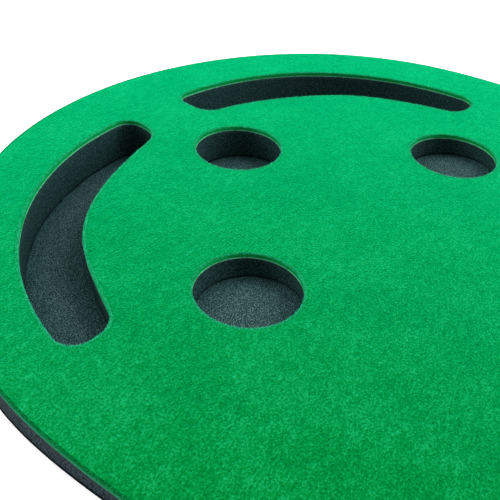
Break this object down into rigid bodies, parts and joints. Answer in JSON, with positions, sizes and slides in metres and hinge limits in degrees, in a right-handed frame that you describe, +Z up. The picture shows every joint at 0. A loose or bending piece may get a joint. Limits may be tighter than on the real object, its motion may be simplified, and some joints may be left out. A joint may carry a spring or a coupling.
{
  "type": "practice putting mat",
  "caption": "Kidney-shaped felt putting mat with a foam ramp under its head, round cups and curved bunker cut-outs, on a thin non-slip base.",
  "frame": {"origin": "middle of the mat's overall width and length, on the floor", "axes": "+Y the putting direction, from the tail to the raised head; +X the golfer's right; +Z up"},
  "size_m": [0.9138, 2.7431, 0.0614],
  "materials": {
    "green_felt": "needle-punched felt",
    "latex_backing": "matte",
    "ramp_foam": "closed-cell foam, matte",
    "base_foam": "closed-cell foam, matte"
  },
  "bodies": {
    "root": {"putting_surface": "green_felt", "felt_backing": "latex_backing", "head_ramp": "ramp_foam", "base_sheet": "base_foam"}
  },
  "joints": []
}
